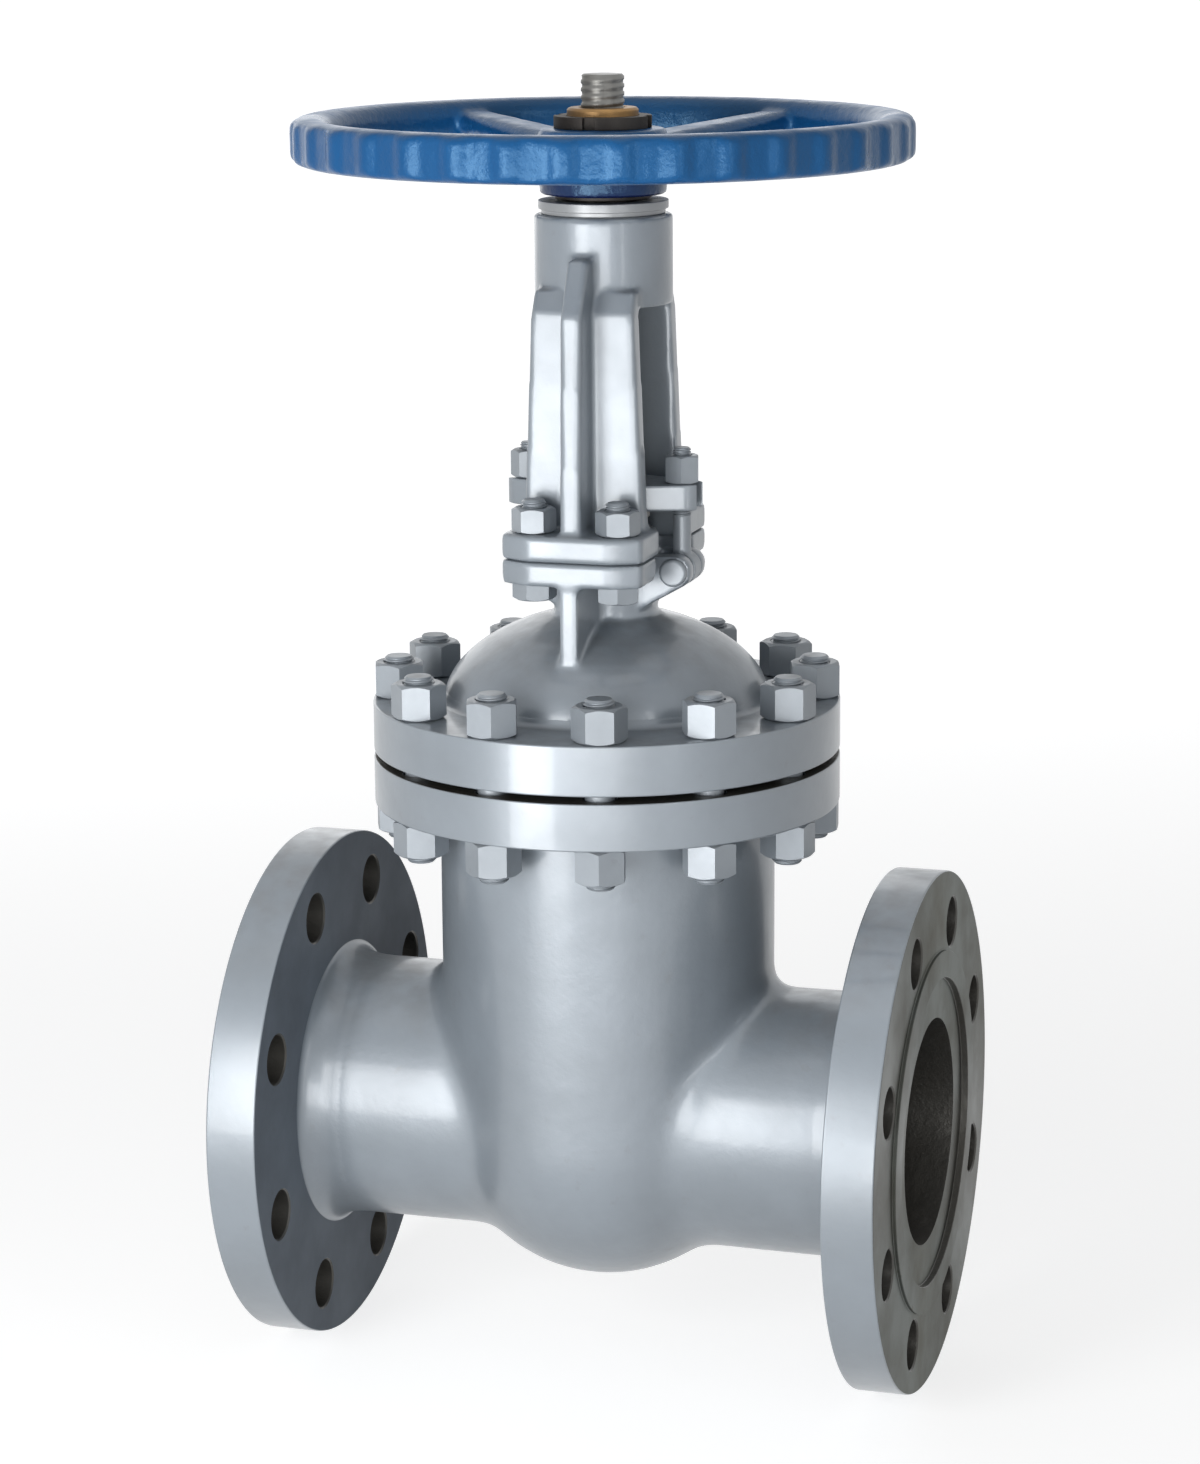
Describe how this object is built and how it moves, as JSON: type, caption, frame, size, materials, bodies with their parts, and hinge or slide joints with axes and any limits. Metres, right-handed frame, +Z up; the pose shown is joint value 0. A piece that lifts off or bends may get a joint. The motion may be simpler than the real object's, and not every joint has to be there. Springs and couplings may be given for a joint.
{
  "type": "flanged gate valve",
  "caption": "Rising-stem wedge gate valve: cast body with two bolted pipe flanges, studded bonnet, open yoke and a spoked handwheel.",
  "frame": {"origin": "centre of the inlet flange's face", "axes": "+X along the pipe from inlet to outlet, +Z up the stem, Y across the pipe"},
  "size_m": [0.45, 0.4, 0.8595],
  "materials": {
    "cast_paint": "silver-grey aluminium paint over a sand casting, satin",
    "bolt_paint": "thin grey paint over steel, satin",
    "cap_paint": "grey paint over a turned face, satin",
    "wheel_paint": "royal blue enamel, glossy",
    "bright_steel": "turned steel, lightly oiled",
    "hard_facing": "machined steel, satin",
    "stem_brass": "turned brass, dulled",
    "graphite": "compressed graphite, matt",
    "dark_steel": "blackened steel"
  },
  "bodies": {
    "root": {"body_casting": "cast_paint", "seat_ring_inlet": "hard_facing", "seat_ring_outlet": "hard_facing", "bonnet_gasket": "graphite", "bonnet": "cast_paint", "bonnet_studs": "bolt_paint", "bonnet_nuts_upper": "bolt_paint", "bonnet_nuts_lower": "bolt_paint", "back_seat_bush": "stem_brass", "packing": "graphite", "gland_follower": "bright_steel", "gland_flange": "cast_paint", "eyebolt_inlet": "bolt_paint", "eyebolt_outlet": "bolt_paint", "eyebolt_nut_inlet": "bolt_paint", "eyebolt_nut_outlet": "bolt_paint", "eyebolt_pin_inlet": "bolt_paint", "eyebolt_pin_outlet": "bolt_paint", "yoke": "cast_paint", "yoke_bolts_front": "bolt_paint", "yoke_bolts_back": "bolt_paint", "yoke_nuts_front": "bolt_paint", "yoke_nuts_back": "bolt_paint", "bearing_lower": "bright_steel", "bearing_upper": "bright_steel", "yoke_cap": "cap_paint"},
    "wheel": {"stem_nut": "stem_brass", "handwheel": "wheel_paint", "handwheel_key": "bright_steel", "lock_nut": "dark_steel"},
    "stem": {"stem": "bright_steel", "wedge": "hard_facing"}
  },
  "joints": [
    {"name": "handwheel_spin", "type": "hinge", "parent": "root", "child": "wheel", "pos_m": [0.225, 0, 0], "axis": [0, 0, 1], "range_deg": [0, 11880]},
    {"name": "stem_rise", "type": "slide", "parent": "root", "child": "stem", "axis": [0, 0, 1], "range_m": [0, 0.165]}
  ],
  "couplings": [
    {"joint": "stem_rise", "follows": "handwheel_spin", "m_per_rad": 0.00079577}
  ]
}
